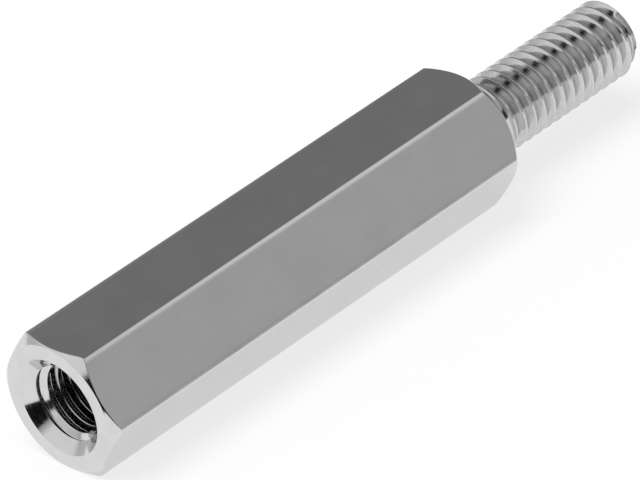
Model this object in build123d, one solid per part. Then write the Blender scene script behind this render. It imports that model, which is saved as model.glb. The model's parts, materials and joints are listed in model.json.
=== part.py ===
from build123d import *
import math
import os

# Male-female hex standoff, turned from one length of hexagonal bar. One end has
# a countersunk blind hole, bored to take a thread, and the other end a stud.
# The threads themselves are not modelled: the hole has its tapping size and the
# stud its outside diameter. Sizes are in millimetres.
#
# The standoff lies on one of its flats. X runs along its axis, from the tapped
# end to the stud's tip, and Z is up. The origin is on the surface it lies on,
# under the middle of its whole length.

# Hexagonal body
across_flats = 4.75
body_length = 20.0
long_edge_radius = 0.10

# Chamfers turned on the body's ends: how far inside the flats the remaining
# round face stops, and the angle between the chamfer and that face
tapped_face_inset = 0.04
tapped_chamfer_angle = 35.0
shoulder_face_inset = 0.05
shoulder_chamfer_angle = 45.0

# Tapped hole
tapping_diameter = 2.50
tapping_depth = 12.0
drill_point_angle = 118.0
countersink_diameter = 3.60
countersink_angle = 90.0

# Stud
stud_diameter = 2.90
stud_length = 7.50
stud_tip_chamfer = 0.20

# Sizes that follow from those above
flat_radius = across_flats / 2
corner_radius = flat_radius / math.cos(math.radians(30))
overall_length = body_length + stud_length
tapping_radius = tapping_diameter / 2
countersink_radius = countersink_diameter / 2
stud_radius = stud_diameter / 2


def axial_length(radial_cut, angle):
    """Length along the axis of a chamfer that cuts inward by radial_cut, at an angle to the end face."""
    return radial_cut * math.tan(math.radians(angle))


def conical_length(radial_cut, included_angle):
    """Length along the axis of a cone that narrows by radial_cut, with this angle across its point."""
    return radial_cut / math.tan(math.radians(included_angle / 2))


def revolved(*profile):
    """Solid of revolution about X, from the (x, radius) corners of its half profile."""
    outline = Polyline(*profile, close=True)
    return revolve(Plane.XZ * make_face(outline), axis=Axis.X)


def hexagonal_bar():
    """The bar's full section, with two flats level and its long edges just broken."""
    section = RegularPolygon(flat_radius, 6, major_radius=False)
    section = fillet(section.vertices(), long_edge_radius)
    return extrude(Plane.YZ * section, body_length)


def end_chamfers():
    """The turned envelope that cuts the bar's six corners back at both ends."""
    tapped_face_radius = flat_radius - tapped_face_inset
    shoulder_face_radius = flat_radius - shoulder_face_inset
    tapped_chamfer = axial_length(corner_radius - tapped_face_radius, tapped_chamfer_angle)
    shoulder_chamfer = axial_length(corner_radius - shoulder_face_radius, shoulder_chamfer_angle)
    return revolved(
        (0, 0),
        (0, tapped_face_radius),
        (tapped_chamfer, corner_radius),
        (body_length - shoulder_chamfer, corner_radius),
        (body_length, shoulder_face_radius),
        (body_length, 0),
    )


def tapped_hole():
    """Countersink, tapping bore and the cone that the drill's point leaves."""
    countersink_depth = conical_length(countersink_radius - tapping_radius, countersink_angle)
    drill_point_length = conical_length(tapping_radius, drill_point_angle)
    return revolved(
        (0, 0),
        (0, countersink_radius),
        (countersink_depth, tapping_radius),
        (tapping_depth, tapping_radius),
        (tapping_depth + drill_point_length, 0),
    )


def stud():
    """The stud, from the shoulder to its chamfered tip."""
    return revolved(
        (body_length, 0),
        (body_length, stud_radius),
        (overall_length - stud_tip_chamfer, stud_radius),
        (overall_length, stud_radius - stud_tip_chamfer),
        (overall_length, 0),
    )


turned_body = hexagonal_bar() & end_chamfers()
standoff_body = turned_body - tapped_hole() + stud()
standoff_body = Pos(-overall_length / 2, 0, flat_radius) * standoff_body

os.makedirs("parts", exist_ok=True)
export_step(standoff_body, "parts/standoff_body.step")
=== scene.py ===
import json
import math
import bmesh
import bpy
import numpy as np
from mathutils import Matrix, Vector


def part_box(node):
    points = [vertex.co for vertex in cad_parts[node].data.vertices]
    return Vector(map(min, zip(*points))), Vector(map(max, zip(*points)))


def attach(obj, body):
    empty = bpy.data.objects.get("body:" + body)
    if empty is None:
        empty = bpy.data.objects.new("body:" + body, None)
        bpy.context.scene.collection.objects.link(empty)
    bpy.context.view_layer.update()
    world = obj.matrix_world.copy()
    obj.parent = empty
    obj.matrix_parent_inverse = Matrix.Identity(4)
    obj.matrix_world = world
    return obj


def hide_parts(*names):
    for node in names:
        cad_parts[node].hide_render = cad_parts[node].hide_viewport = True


# A bright plated hex standoff lying on one of its flats: X runs along its axis,
# from the tapped end to the stud's tip, and Z is up. Lengths are in metres.

MM = 0.001

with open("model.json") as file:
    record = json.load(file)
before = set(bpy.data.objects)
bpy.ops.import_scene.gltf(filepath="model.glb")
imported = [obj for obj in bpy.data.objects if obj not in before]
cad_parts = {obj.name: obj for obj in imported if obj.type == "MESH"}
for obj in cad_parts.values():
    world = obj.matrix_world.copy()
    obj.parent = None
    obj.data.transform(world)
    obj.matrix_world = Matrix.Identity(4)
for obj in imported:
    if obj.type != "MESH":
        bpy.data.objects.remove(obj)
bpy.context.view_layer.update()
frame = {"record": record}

# Sizes taken from the frame
NODE = "standoff_body"
lowest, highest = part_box(NODE)
mounts = {mount["name"]: mount for mount in frame["record"]["mounts"]}
stud_mount = mounts["stud"]
hole_mount = mounts["tapped_hole"]
FLAT_RADIUS = (highest.z - lowest.z) / 2
AXIS_HEIGHT = lowest.z + FLAT_RADIUS
TAPPED_END = lowest.x
SHOULDER = stud_mount["pos_m"][0]
STUD_TIP = highest.x
STUD_RADIUS = stud_mount["dims"]["r_mm"] * MM
STUD_TIP_CHAMFER = STUD_TIP - SHOULDER - stud_mount["dims"]["length_mm"] * MM
HOLE_RADIUS = hole_mount["dims"]["r_mm"] * MM
COUNTERSINK_DEPTH = hole_mount["pos_m"][0] - TAPPED_END
HOLE_BOTTOM = hole_mount["pos_m"][0] + hole_mount["dims"]["length_mm"] * MM

# Body: its long edges are just broken. At each end a chamfer leaves a round face
# that stops this far inside the flats, and its angle is measured to that face.
LONG_EDGE_RADIUS = 0.10 * MM
TAPPED_FACE_INSET = 0.04 * MM
TAPPED_FACE_RADIUS = FLAT_RADIUS - TAPPED_FACE_INSET
TAPPED_CHAMFER_ANGLE = math.radians(35)
SHOULDER_FACE_INSET = 0.05 * MM
SHOULDER_FACE_RADIUS = FLAT_RADIUS - SHOULDER_FACE_INSET
SHOULDER_CHAMFER_ANGLE = math.radians(45)

# Hole: the countersink is 90 degrees across, so that its radius shrinks by its
# depth, and the drill's point leaves a cone at the bottom
COUNTERSINK_RADIUS = HOLE_RADIUS + COUNTERSINK_DEPTH
DRILL_POINT_ANGLE = math.radians(118)
DRILL_POINT_LENGTH = HOLE_RADIUS / math.tan(DRILL_POINT_ANGLE / 2)

# Roundings that break the edges: between turned faces, and along each chamfer
TURNED_EDGE_RADIUS = 0.03 * MM
CHAMFER_EDGE_RADIUS = 0.06 * MM
ROUNDING_STEPS = 4

# The body's skin begins this far inside the countersink
MOUTH_STEP = 0.05 * MM

# Each flat falls away a little beside its long edges, where the bar was polished
POLISHED_DROP = 0.02 * MM
POLISHED_WIDTH = 0.25 * MM

# Threads, both right-hand. Half the width of a crest, the rounding at the edges
# of crest and root, the length of a flank along the axis, and the place where a
# crest crosses the +Y corner are shares of the pitch. A thread fades out over
# its run-out.
PITCH = 0.5 * MM
FLANK_ANGLE = math.radians(30)
HOLE_CREST_RADIUS = HOLE_RADIUS - 0.03 * MM
HOLE_THREAD_DEPTH = 0.25 * MM
HOLE_CREST_HALF = 0.11
HOLE_EDGE_SHARE = 0.04
HOLE_FLANK = HOLE_THREAD_DEPTH * math.tan(FLANK_ANGLE) / PITCH
HOLE_CREST_AT = 0.08
HOLE_THREAD_START = TAPPED_END + 0.38 * MM
HOLE_THREAD_END = TAPPED_END + 10.0 * MM
HOLE_RUN_OUT = 1.5 * PITCH
STUD_THREAD_DEPTH = 0.28 * MM
STUD_CREST_HALF = 0.06
STUD_EDGE_SHARE = 0.015
STUD_FLANK = STUD_THREAD_DEPTH * math.tan(FLANK_ANGLE) / PITCH
STUD_CREST_AT = 0.06
STUD_THREAD_START = SHOULDER + 0.45 * MM
STUD_RUN_OUT = 1.2 * PITCH
STUD_TIP_ROUNDING = 0.15 * MM

# A thread's slopes are measured over this share of its pitch and of a turn
NORMAL_STEP = 0.002

# The hexagon's sides, each with the angle that it takes up, seen from the axis
SIDES = 6
SIDE_ANGLE = 2 * math.pi / SIDES
HALF_SIDE = SIDE_ANGLE / 2

# The rounding of a long edge: how far its centre is from the axis, and half the
# angle that it takes up
EDGE_CENTRE = (FLAT_RADIUS - LONG_EDGE_RADIUS) / math.cos(HALF_SIDE)
EDGE_SPREAD = math.atan2(
    LONG_EDGE_RADIUS * math.sin(HALF_SIDE), EDGE_CENTRE + LONG_EDGE_RADIUS * math.cos(HALF_SIDE)
)

# Vertices around the axis: close together at the six corners, wider apart between
CORNER_STEPS = 3
FLAT_STEPS = 26
CORNER_CROWDING = 0.7

# The material of each part of the skin
FLATS = 0
TURNED = 1
STUD_THREAD = 2
HOLE_THREAD = 3


def angles_around():
    """Angles from the +Y corner, dense at each corner of the hexagon."""
    share = np.linspace(0, 1, FLAT_STEPS + 1)[1:-1]
    share = share - CORNER_CROWDING * np.sin(2 * math.pi * share) / (2 * math.pi)
    angles = []
    for side in range(SIDES):
        corner = side * SIDE_ANGLE
        angles += list(corner + np.linspace(-EDGE_SPREAD, EDGE_SPREAD, 2 * CORNER_STEPS + 1))
        angles += list(corner + EDGE_SPREAD + (SIDE_ANGLE - 2 * EDGE_SPREAD) * share)
    return np.sort(np.mod(np.array(angles), 2 * math.pi))


ANGLES = angles_around()
TURNS = ANGLES / (2 * math.pi)


def hexagon_radius():
    """Distance from the axis to the rounded hexagon, at each angle."""
    off_corner = np.mod(ANGLES + HALF_SIDE, SIDE_ANGLE) - HALF_SIDE
    inside = np.maximum(LONG_EDGE_RADIUS ** 2 - (EDGE_CENTRE * np.sin(off_corner)) ** 2, 0)
    on_corner = EDGE_CENTRE * np.cos(off_corner) + np.sqrt(inside)
    on_corner -= POLISHED_DROP / math.cos(HALF_SIDE - EDGE_SPREAD)
    off_middle = HALF_SIDE - np.abs(off_corner)
    to_edge = FLAT_RADIUS * (math.tan(HALF_SIDE - EDGE_SPREAD) - np.tan(off_middle))
    drop = POLISHED_DROP * np.clip(1 - to_edge / POLISHED_WIDTH, 0, 1) ** 2
    on_flat = (FLAT_RADIUS - drop) / np.cos(off_middle)
    return np.where(np.abs(off_corner) < EDGE_SPREAD, on_corner, on_flat)


class Surface:
    """A closed mesh, put together from rings of vertices around the axis."""

    def __init__(self):
        self.points = []
        self.faces = []
        self.finishes = []
        self.normals = {}
        self.finish = TURNED

    def add(self, x, radius, angle):
        """A vertex at this angle from +Y about the axis."""
        self.points.append((x, radius * math.cos(angle), AXIS_HEIGHT + radius * math.sin(angle)))
        return len(self.points) - 1

    def ring(self, x, radius):
        """One vertex at each angle. x and radius are numbers or arrays."""
        xs = np.broadcast_to(x, ANGLES.shape)
        radii = np.broadcast_to(radius, ANGLES.shape)
        return [self.add(*values) for values in zip(xs, radii, ANGLES)]

    def face(self, *corners):
        """A face, without the corners that fall together."""
        kept = [c for i, c in enumerate(corners) if c != corners[i - 1]]
        if len(set(kept)) > 2:
            self.faces.append(kept)
            self.finishes.append(self.finish)

    def band(self, first, second):
        """Joins two rings."""
        for j in range(len(first)):
            self.face(first[j - 1], second[j - 1], second[j], first[j])

    def cap(self, ring, x):
        """Closes the surface from a ring to a point on the axis."""
        self.points.append((x, 0, AXIS_HEIGHT))
        tip = len(self.points) - 1
        for j in range(len(ring)):
            self.face(ring[j - 1], tip, ring[j])

    def add_on_thread(self, x, column, radius_at, outward):
        """A vertex on a thread, with the normal of the thread's own shape there."""
        turn = TURNS[column]
        angle = ANGLES[column]
        radius = radius_at(x, turn)
        step = NORMAL_STEP * PITCH
        slope = (radius_at(x + step, turn) - radius_at(x - step, turn)) / (2 * step)
        rise = (radius_at(x, turn + NORMAL_STEP) - radius_at(x, turn - NORMAL_STEP)) / (2 * NORMAL_STEP)
        lean = rise / (2 * math.pi * radius)
        radial = Vector((0, math.cos(angle), math.sin(angle)))
        around = Vector((0, -math.sin(angle), math.cos(angle)))
        vertex = self.add(x, radius, angle)
        normal = radial - around * lean - Vector((slope, 0, 0))
        self.normals[vertex] = outward * normal.normalized()
        return vertex

    def thread(self, first, x_first, last, x_last, shape, outward):
        """Rows that follow the helix, cut off at the rings first and last.

        shape holds the profile's rows within one pitch, as shares of it, where
        the crest is at angle 0, and the function that gives the radius.
        """
        stations, crest_at, radius_at = shape
        count = len(stations)
        start = PITCH * (math.floor(x_first / PITCH - crest_at) - 1 + crest_at)
        rows = int(math.ceil((x_last - start) / PITCH)) * count
        made = {}

        def vertex(row, column):
            x = start + PITCH * (row // count + stations[row % count] + TURNS[column])
            if x <= x_first:
                return first[column]
            if x >= x_last:
                return last[column]
            if (row, column) not in made:
                made[row, column] = self.add_on_thread(x, column, radius_at, outward)
            return made[row, column]

        columns = len(ANGLES)
        for row in range(rows):
            for column in range(columns):
                over = row + count if column + 1 == columns else row
                beside = (column + 1) % columns
                self.face(
                    vertex(row, column), vertex(row + 1, column),
                    vertex(over + 1, beside), vertex(over, beside),
                )


def rounded_profile(corners, radii):
    """Rounds the inner corners of a half profile, given as (x, radius) pairs of arrays.

    Gives one list of rows for each inner corner.
    """
    shape = ANGLES.shape
    points = [np.array([np.broadcast_to(v, shape) for v in corner], float) for corner in corners]
    roundings = []
    for i in range(1, len(points) - 1):
        here = points[i]
        back = points[i - 1] - here
        on = points[i + 1] - here
        back = back / np.linalg.norm(back, axis=0)
        on = on / np.linalg.norm(on, axis=0)
        half_turn = np.arccos(np.clip(np.sum(back * on, axis=0), -1, 1)) / 2
        reach = radii[i - 1] / np.tan(half_turn)
        start = here + back * reach
        end = here + on * reach
        rows = []
        for step in range(ROUNDING_STEPS + 1):
            # A quadratic curve from tangent point to tangent point
            t = step / ROUNDING_STEPS
            rows.append((1 - t) ** 2 * start + 2 * t * (1 - t) * here + t ** 2 * end)
        roundings.append(rows)
    return roundings


def ease(value):
    """0 below 0, 1 above 1 and a smooth rise between."""
    value = np.clip(value, 0.0, 1.0)
    return value * value * (3 - 2 * value)


def groove_share(x, turn, crest_at, crest_half, flank):
    """How deep the groove is at a place on a thread, from 0 on the crest to 1 at the root."""
    off_crest = abs((x / PITCH - turn - crest_at + 0.5) % 1 - 0.5)
    return min(max((off_crest - crest_half) / flank, 0.0), 1.0)


def thread_stations(crest_half, flank, edge):
    """Rows within one pitch: each side of the edges of crest and root."""
    root_edge = crest_half + flank
    half = [crest_half - edge, crest_half + edge, root_edge - edge, root_edge + edge]
    return half + [1 - share for share in reversed(half)]


def stud_thread_radius(x, turn):
    """Outside surface of the stud: thread, run-out at the shoulder and rounded tip."""
    depth = STUD_THREAD_DEPTH * groove_share(x, turn, STUD_CREST_AT, STUD_CREST_HALF, STUD_FLANK)
    run_out = float(ease((x - STUD_THREAD_START) / STUD_RUN_OUT))
    along_tip = min(max(1 - (STUD_TIP - x) / STUD_TIP_ROUNDING, 0.0), 1.0)
    tip = STUD_RADIUS - STUD_TIP_CHAMFER * (1 - math.sqrt(1 - along_tip ** 2))
    return min(STUD_RADIUS - depth * run_out, tip)


def hole_thread_radius(x, turn):
    """Inside surface of the hole: the last of the countersink, the thread and its run-out."""
    depth = HOLE_THREAD_DEPTH * groove_share(x, turn, HOLE_CREST_AT, HOLE_CREST_HALF, HOLE_FLANK)
    run_out = float(ease((HOLE_THREAD_END - x) / HOLE_RUN_OUT))
    countersink = COUNTERSINK_RADIUS - (x - TAPPED_END)
    return max(HOLE_CREST_RADIUS + depth * run_out, countersink)


def body_corners():
    """The corners of the body's half profile, from the tapped end to the stud.

    Each has its x and radius, its rounding, and the finish of what leads to it.
    """
    hexagon = hexagon_radius()
    tapped_chamfer = (hexagon - TAPPED_FACE_RADIUS) * math.tan(TAPPED_CHAMFER_ANGLE)
    shoulder_chamfer = (hexagon - SHOULDER_FACE_RADIUS) * math.tan(SHOULDER_CHAMFER_ANGLE)
    return [
        (TAPPED_END, COUNTERSINK_RADIUS, TURNED_EDGE_RADIUS, TURNED),
        (TAPPED_END, TAPPED_FACE_RADIUS, TURNED_EDGE_RADIUS, TURNED),
        (TAPPED_END + tapped_chamfer, hexagon, CHAMFER_EDGE_RADIUS, TURNED),
        (SHOULDER - shoulder_chamfer, hexagon, CHAMFER_EDGE_RADIUS, FLATS),
        (SHOULDER, SHOULDER_FACE_RADIUS, TURNED_EDGE_RADIUS, TURNED),
        (SHOULDER, STUD_RADIUS, TURNED_EDGE_RADIUS, TURNED),
    ]


def add_body(surface):
    """From the countersink's mouth over the end, the flats and the shoulder to the stud."""
    mouth = (TAPPED_END + MOUTH_STEP, COUNTERSINK_RADIUS - MOUTH_STEP)
    thread_start = (STUD_THREAD_START, STUD_RADIUS)
    corners = body_corners()
    profile = [mouth] + [(x, radius) for x, radius, _, _ in corners] + [thread_start]
    roundings = rounded_profile(profile, [rounding for _, _, rounding, _ in corners])
    mouth_ring = surface.ring(*mouth)
    before = mouth_ring
    for (_, _, _, finish), rows in zip(corners, roundings):
        surface.finish = finish
        for x, radius in rows:
            after = surface.ring(x, radius)
            surface.band(before, after)
            surface.finish = TURNED
            before = after
    stud_start = surface.ring(*thread_start)
    surface.band(before, stud_start)
    return mouth_ring, stud_start


def add_stud_thread(surface, stud_start):
    """The stud's thread and its end face."""
    surface.finish = STUD_THREAD
    tip = surface.ring(STUD_TIP, [stud_thread_radius(STUD_TIP, turn) for turn in TURNS])
    stations = thread_stations(STUD_CREST_HALF, STUD_FLANK, STUD_EDGE_SHARE)
    shape = (stations, STUD_CREST_AT, stud_thread_radius)
    surface.thread(stud_start, STUD_THREAD_START, tip, STUD_TIP, shape, outward=1)
    surface.finish = TURNED
    surface.cap(tip, STUD_TIP)


def add_hole(surface, mouth_ring):
    """The rest of the countersink, the hole's thread and the bottom of the bore."""
    lip = surface.ring(HOLE_THREAD_START, COUNTERSINK_RADIUS - (HOLE_THREAD_START - TAPPED_END))
    surface.band(mouth_ring, lip)
    surface.finish = HOLE_THREAD
    hole_end = surface.ring(HOLE_THREAD_END, HOLE_CREST_RADIUS)
    stations = thread_stations(HOLE_CREST_HALF, HOLE_FLANK, HOLE_EDGE_SHARE)
    shape = (stations, HOLE_CREST_AT, hole_thread_radius)
    surface.thread(lip, HOLE_THREAD_START, hole_end, HOLE_THREAD_END, shape, outward=-1)
    hole_bottom = surface.ring(HOLE_BOTTOM, HOLE_CREST_RADIUS)
    surface.band(hole_end, hole_bottom)
    surface.cap(hole_bottom, HOLE_BOTTOM + DRILL_POINT_LENGTH)


def set_normals(mesh, given):
    """Shading normals, one for each vertex.

    given holds those of the threads. Elsewhere the largest faces at a vertex
    have the most say.
    """
    normals = np.zeros((len(mesh.vertices), 3))
    for face in mesh.polygons:
        normals[list(face.vertices)] += np.array(face.normal) * face.area ** 2
    normals /= np.linalg.norm(normals, axis=1)[:, None]
    for vertex, normal in given.items():
        normals[vertex] = normal
    mesh.normals_split_custom_set_from_vertices(normals)


def make_standoff():
    """The whole skin as one closed mesh."""
    surface = Surface()
    mouth_ring, stud_start = add_body(surface)
    add_stud_thread(surface, stud_start)
    add_hole(surface, mouth_ring)
    mesh = bpy.data.meshes.new("standoff")
    mesh.from_pydata(surface.points, [], surface.faces)
    mesh.polygons.foreach_set("material_index", surface.finishes)
    tidy = bmesh.new()
    tidy.from_mesh(mesh)
    bmesh.ops.recalc_face_normals(tidy, faces=tidy.faces)
    tidy.to_mesh(mesh)
    tidy.free()
    mesh.polygons.foreach_set("use_smooth", [True] * len(mesh.polygons))
    set_normals(mesh, surface.normals)
    standoff = bpy.data.objects.new("standoff", mesh)
    bpy.context.scene.collection.objects.link(standoff)
    return standoff


class Tree:
    """Short ways to add nodes to a material or a world."""

    def __init__(self, owner):
        self.owner = owner
        owner.use_nodes = True
        self.nodes = owner.node_tree.nodes
        self.links = owner.node_tree.links

    def put(self, socket, value):
        """Sets a socket to a value, or links it to another node's output."""
        if isinstance(value, bpy.types.NodeSocket):
            self.links.new(value, socket)
        else:
            socket.default_value = value

    def node(self, kind, inputs, **settings):
        """A new node. inputs are values by the name or place of their socket."""
        node = self.nodes.new(kind)
        for name, value in settings.items():
            setattr(node, name, value)
        for socket, value in inputs.items():
            self.put(node.inputs[socket], value)
        return node

    def math(self, operation, *values):
        return self.node("ShaderNodeMath", dict(enumerate(values)), operation=operation).outputs[0]

    def vector(self, operation, *values):
        node = self.node("ShaderNodeVectorMath", dict(enumerate(values)), operation=operation)
        return node.outputs["Value" if operation in ("LENGTH", "DOT_PRODUCT") else "Vector"]

    def split(self, vector):
        return self.node("ShaderNodeSeparateXYZ", {0: vector}).outputs

    def joined(self, x, y, z):
        return self.node("ShaderNodeCombineXYZ", {0: x, 1: y, 2: z}).outputs[0]

    def noise(self, vector, detail=2.0):
        """Noise of about 0 to 1, with features about one unit of the vector across."""
        inputs = {"Vector": vector, "Scale": 1.0, "Detail": detail}
        return self.node("ShaderNodeTexNoise", inputs).outputs[0]

    def ramp(self, value, start, end, low, high):
        """low at start and high at end, with a smooth step between."""
        inputs = {"Value": value, "From Min": start, "From Max": end, "To Min": low, "To Max": high}
        node = self.node("ShaderNodeMapRange", inputs, interpolation_type="SMOOTHSTEP")
        return node.outputs["Result"]


# Grey level of the plating
PLATING = 0.66

# The range that a noise mostly keeps to
NOISE_LOW = 0.3
NOISE_HIGH = 0.7

# Turned rings follow the way out from the axis plus this share of the way along
# it, so that they show on end faces, cones and cylinders alike
RING_SLANT = 0.4

# Painted shade darkens the root of the stud's thread, up to this share of its depth
ROOT_SHADE_LEVEL = 0.72
ROOT_SHADE_REACH = 0.4

# Painted shade darkens the hole's metal: distances from the tapped end where it starts
# and where it is at its darkest, and the share of the colour left there
HOLE_SHADE_START = 0.7 * MM
HOLE_FULL_SHADE_DEPTH = 1.8 * MM
HOLE_SHADE_LEVEL = 0.5


class Metal(Tree):
    """Bright neutral plating. What differs between surfaces is the marks under it."""

    def __init__(self, name):
        super().__init__(bpy.data.materials.new(name))
        self.shader = self.nodes["Principled BSDF"]
        self.shader.inputs["Metallic"].default_value = 1.0
        here = self.node("ShaderNodeTexCoord", {}).outputs["Object"]
        self.here = self.vector("SUBTRACT", here, (0, 0, AXIS_HEIGHT))
        self.x, self.y, self.z = self.split(self.here)
        self.radius = self.vector("LENGTH", self.joined(0.0, self.y, self.z))
        self.cos = self.math("DIVIDE", self.y, self.radius)
        self.sin = self.math("DIVIDE", self.z, self.radius)

    def blotches(self, size):
        """Uneven patches, the same in every direction."""
        return self.noise(self.vector("MULTIPLY", self.here, (1 / size,) * 3), detail=3.0)

    def drawn_lines(self, width, length):
        """Lines along the bar, from the die it was drawn through."""
        return self.noise(self.vector("MULTIPLY", self.here, (1 / length, 1 / width, 1 / width)))

    def turned_lines(self, width, breaks):
        """Rings round the axis, left by turning, that fade in and out as they go round."""
        path = self.math("ADD", self.radius, self.math("MULTIPLY", self.x, RING_SLANT))
        across = self.math("MULTIPLY", path, 1 / width)
        around = self.math("MULTIPLY", self.cos, breaks)
        beside = self.math("MULTIPLY", self.sin, breaks)
        return self.noise(self.joined(across, around, beside))

    def varied(self, noise, low, high):
        """From low to high, as the noise goes through its range."""
        return self.ramp(noise, NOISE_LOW, NOISE_HIGH, low, high)

    def finish(self, level, roughness, relief, depth):
        """Colour from a grey level, with roughness and relief."""
        grey = self.node("ShaderNodeCombineColor", {0: level, 1: level, 2: level}).outputs[0]
        self.put(self.shader.inputs["Base Color"], grey)
        self.put(self.shader.inputs["Roughness"], roughness)
        bump = self.node("ShaderNodeBump", {"Strength": 1.0, "Distance": depth, "Height": relief})
        self.put(self.shader.inputs["Normal"], bump.outputs[0])
        return self.owner


def flats_metal():
    """Cold-drawn flats: faint lines along the bar and soft, uneven patches."""
    metal = Metal("plated_flats")
    lines = metal.drawn_lines(width=0.05 * MM, length=3.0 * MM)
    patches = metal.blotches(size=1.4 * MM)
    patch_level = metal.varied(patches, low=PLATING - 0.015, high=PLATING + 0.015)
    level = metal.math("ADD", patch_level, metal.varied(lines, low=-0.005, high=0.005))
    patch_roughness = metal.varied(patches, low=0.12, high=0.16)
    roughness = metal.math("ADD", patch_roughness, metal.varied(lines, low=-0.01, high=0.01))
    return metal.finish(level, roughness, relief=lines, depth=0.0001 * MM)


def turned_metal():
    """Turned faces: fine rings, and a sharper mirror than the flats."""
    metal = Metal("plated_turned")
    rings = metal.turned_lines(width=0.03 * MM, breaks=3.0)
    patches = metal.blotches(size=0.5 * MM)
    level = metal.varied(patches, low=PLATING - 0.02, high=PLATING + 0.02)
    patch_roughness = metal.varied(patches, low=0.08, high=0.13)
    roughness = metal.math("ADD", patch_roughness, metal.varied(rings, low=-0.02, high=0.03))
    return metal.finish(level, roughness, relief=rings, depth=0.001 * MM)


def stud_metal():
    """Rolled thread: streaks along it, and painted shade that darkens its root."""
    metal = Metal("plated_stud_thread")
    streaks = metal.turned_lines(width=0.04 * MM, breaks=5.0)
    patches = metal.blotches(size=0.12 * MM)
    root = STUD_RADIUS - STUD_THREAD_DEPTH
    root_shade_top = root + ROOT_SHADE_REACH * STUD_THREAD_DEPTH
    # Painted shade: the colour darkens towards the root of the thread
    root_shade = metal.ramp(metal.radius, root, root_shade_top, ROOT_SHADE_LEVEL, 1.0)
    streak_level = metal.varied(streaks, low=PLATING - 0.05, high=PLATING + 0.03)
    level = metal.math("MULTIPLY", streak_level, root_shade)
    roughness = metal.varied(patches, low=0.10, high=0.17)
    relief = metal.math("ADD", patches, streaks)
    return metal.finish(level, roughness, relief=relief, depth=0.0008 * MM)


def hole_metal():
    """Cut thread: bright at the mouth, with painted shade darkening it further in."""
    metal = Metal("plated_hole_thread")
    streaks = metal.turned_lines(width=0.03 * MM, breaks=4.0)
    patches = metal.blotches(size=0.15 * MM)
    # Painted shade: the colour darkens deeper in the hole
    hole_shade = metal.ramp(metal.x, TAPPED_END + HOLE_SHADE_START, TAPPED_END + HOLE_FULL_SHADE_DEPTH, 1.0, HOLE_SHADE_LEVEL)
    patch_level = metal.varied(patches, low=PLATING - 0.03, high=PLATING + 0.02)
    level = metal.math("MULTIPLY", patch_level, hole_shade)
    roughness = metal.varied(streaks, low=0.06, high=0.13)
    return metal.finish(level, roughness, relief=streaks, depth=0.0005 * MM)


standoff = make_standoff()
for material in (flats_metal(), turned_metal(), stud_metal(), hole_metal()):
    standoff.data.materials.append(material)
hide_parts(NODE)
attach(standoff, "root")


# Camera, at the photograph's viewing angle
CAMERA_AZIMUTH = -132.83
CAMERA_ELEVATION = 33.14
CAMERA_ROLL = math.radians(-7.23)
CAMERA_DISTANCE = 208.6 * MM
CAMERA_AIM = Vector((-1.376, -0.167, 2.187)) * MM
CAMERA_LENS = 346.9
CAMERA_NEAR = 0.01
CAMERA_FAR = 10.0


def direction(azimuth, elevation):
    """Unit vector from angles in degrees: azimuth from +X towards +Y, elevation above the floor."""
    azimuth = math.radians(azimuth)
    elevation = math.radians(elevation)
    level = math.cos(elevation)
    return Vector((level * math.cos(azimuth), level * math.sin(azimuth), math.sin(elevation)))


def make_camera():
    """Looks from the tapped end and above, with a long lens."""
    away = direction(CAMERA_AZIMUTH, CAMERA_ELEVATION)
    data = bpy.data.cameras.new("camera")
    data.lens = CAMERA_LENS
    data.clip_start = CAMERA_NEAR
    data.clip_end = CAMERA_FAR
    camera = bpy.data.objects.new("camera", data)
    turn = away.to_track_quat("Z", "Y").to_matrix().to_4x4()
    place = Matrix.Translation(CAMERA_AIM + away * CAMERA_DISTANCE)
    camera.matrix_world = place @ turn @ Matrix.Rotation(CAMERA_ROLL, 4, "Z")
    bpy.context.scene.collection.objects.link(camera)
    bpy.context.scene.camera = camera


def matt(name, grey):
    """The nodes of a new matt material."""
    tree = Tree(bpy.data.materials.new(name))
    shader = tree.nodes["Principled BSDF"]
    shader.inputs["Base Color"].default_value = (grey, grey, grey, 1)
    shader.inputs["Specular IOR Level"].default_value = 0.0
    return tree


def make_card(name, corners, material):
    """A flat card of the studio."""
    mesh = bpy.data.meshes.new(name)
    mesh.from_pydata(corners, [], [(0, 1, 2, 3)])
    mesh.materials.append(material)
    card = bpy.data.objects.new(name, mesh)
    bpy.context.scene.collection.objects.link(card)
    return card


# Floor: half its side, its own grey, and how far it is lifted towards white
FLOOR_HALF = 1.5
FLOOR_GREY = 0.9
FLOOR_ROUGHNESS = 0.9
FLOOR_LIFT = 0.75


def make_floor():
    """Plain white floor, lifted towards white wherever it is seen, with its shadow kept."""
    tree = matt("floor_white", FLOOR_GREY)
    shader = tree.nodes["Principled BSDF"]
    shader.inputs["Roughness"].default_value = FLOOR_ROUGHNESS
    white = tree.node("ShaderNodeEmission", {"Strength": 1.0}).outputs[0]
    path = tree.node("ShaderNodeLightPath", {}).outputs
    seen = tree.math("MAXIMUM", path["Is Camera Ray"], path["Is Glossy Ray"])
    seen = tree.math("MAXIMUM", seen, path["Is Transmission Ray"])
    share = tree.math("MULTIPLY", seen, FLOOR_LIFT)
    mix = tree.node("ShaderNodeMixShader", {0: share, 1: shader.outputs[0], 2: white})
    tree.put(tree.nodes["Material Output"].inputs[0], mix.outputs[0])
    corners = [
        (-FLOOR_HALF, -FLOOR_HALF, 0),
        (FLOOR_HALF, -FLOOR_HALF, 0),
        (FLOOR_HALF, FLOOR_HALF, 0),
        (-FLOOR_HALF, FLOOR_HALF, 0),
    ]
    floor = make_card("floor", corners, tree.owner)


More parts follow.
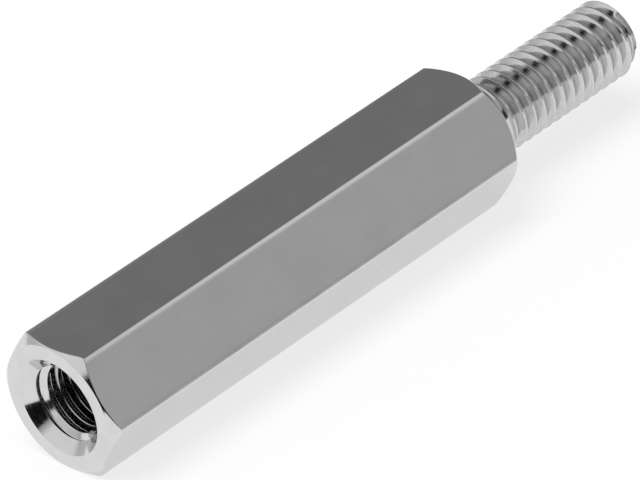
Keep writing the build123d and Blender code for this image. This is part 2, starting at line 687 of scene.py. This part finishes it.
# Grey of the room round the standoff, and the panels in it that the metal
# mirrors: name, azimuth, elevation, half width, half height and soft edge in
# degrees, and brightness. A later panel covers those before it.
ROOM_GREY = 0.47
PANELS = [
    ("left softbox", 150, 40, 34, 34, 8, 0.88),
    ("left horizon", 132, 5, 38, 9, 6, 0.62),
    ("dark skirting", 154, 0, 28, 3, 3, 0.1),
    ("far grey card", 27, 42, 30, 38, 10, 0.21),
    ("left upper light", 76, 58, 15, 15, 9, 0.57),
    ("right upper light", -54, 56, 14, 16, 7, 0.66),
    ("dark gap overhead", 20, 75, 8, 8, 3, 0.0),
    ("right horizon", -62, 0, 16, 5, 6, 0.36),
    ("dark room", -119, 8, 38, 20, 6, 0.03),
    ("strip light", -49, 29, 4, 5, 4, 0.9),
]


def make_world():
    """A studio of soft panels, by direction alone."""
    world = bpy.data.worlds.new("studio")
    bpy.context.scene.world = world
    tree = Tree(world)
    ray = tree.node("ShaderNodeTexCoord", {}).outputs["Generated"]

    def within(axis, half, soft):
        """1 within half an angle of the panel's middle, across this axis."""
        offset = tree.math("ABSOLUTE", tree.vector("DOT_PRODUCT", ray, axis))
        outer = math.sin(math.radians(half + soft))
        inner = math.sin(math.radians(half - soft))
        return tree.ramp(offset, inner, outer, 1.0, 0.0)

    level = ROOM_GREY
    for name, azimuth, elevation, half_width, half_height, soft, brightness in PANELS:
        middle = direction(azimuth, elevation)
        across = Vector((0, 0, 1)).cross(middle).normalized()
        up = middle.cross(across)
        share = tree.math("MULTIPLY", within(across, half_width, soft), within(up, half_height, soft))
        ahead = tree.math("GREATER_THAN", tree.vector("DOT_PRODUCT", ray, middle), 0.0)
        share = tree.math("MULTIPLY", share, ahead)
        mix = tree.node("ShaderNodeMix", {"Factor": share, "A": level, "B": brightness}, label=name)
        level = mix.outputs["Result"]
    tree.put(tree.nodes["Background"].inputs["Color"], level)


# Lamp over the floor: its place, its width and its power in watts
LAMP_PLACE = Vector((-0.15, 0.1, 0.6))
LAMP_SIZE = 0.5
LAMP_POWER = 2.8


def make_lamp():
    """A broad soft lamp overhead, for the floor and its shadow. The panels stand for it in the metal."""
    data = bpy.data.lights.new("soft_lamp", "AREA")
    data.shape = "DISK"
    data.size = LAMP_SIZE
    data.energy = LAMP_POWER
    lamp = bpy.data.objects.new("soft_lamp", data)
    lamp.location = LAMP_PLACE
    lamp.rotation_euler = lamp.location.to_track_quat("Z", "Y").to_euler()
    lamp.visible_glossy = False
    bpy.context.scene.collection.objects.link(lamp)


# Black card on the floor: its direction and distance from the tapped end, and
# its size
FLAG_AZIMUTH = -152
FLAG_DISTANCE = 12.0 * MM
FLAG_WIDTH = 15.0 * MM
FLAG_HEIGHT = 7.4 * MM
FLAG_GREY = 0.01


def make_flag():
    """A black card on the floor beside the tapped end, which the metal mirrors."""
    away = direction(FLAG_AZIMUTH, 0)
    across = Vector((-away.y, away.x, 0))
    foot = Vector((TAPPED_END, 0, 0)) + away * FLAG_DISTANCE
    corners = [foot - across * FLAG_WIDTH / 2, foot + across * FLAG_WIDTH / 2]
    corners += [corner + Vector((0, 0, FLAG_HEIGHT)) for corner in reversed(corners)]
    flag = make_card("flag", corners, matt("flag_black", FLAG_GREY).owner)
    flag.visible_camera = False
    flag.visible_diffuse = False
    flag.visible_shadow = False


make_camera()
make_floor()
make_world()
make_lamp()
make_flag()
bpy.context.scene.view_settings.view_transform = "Standard"
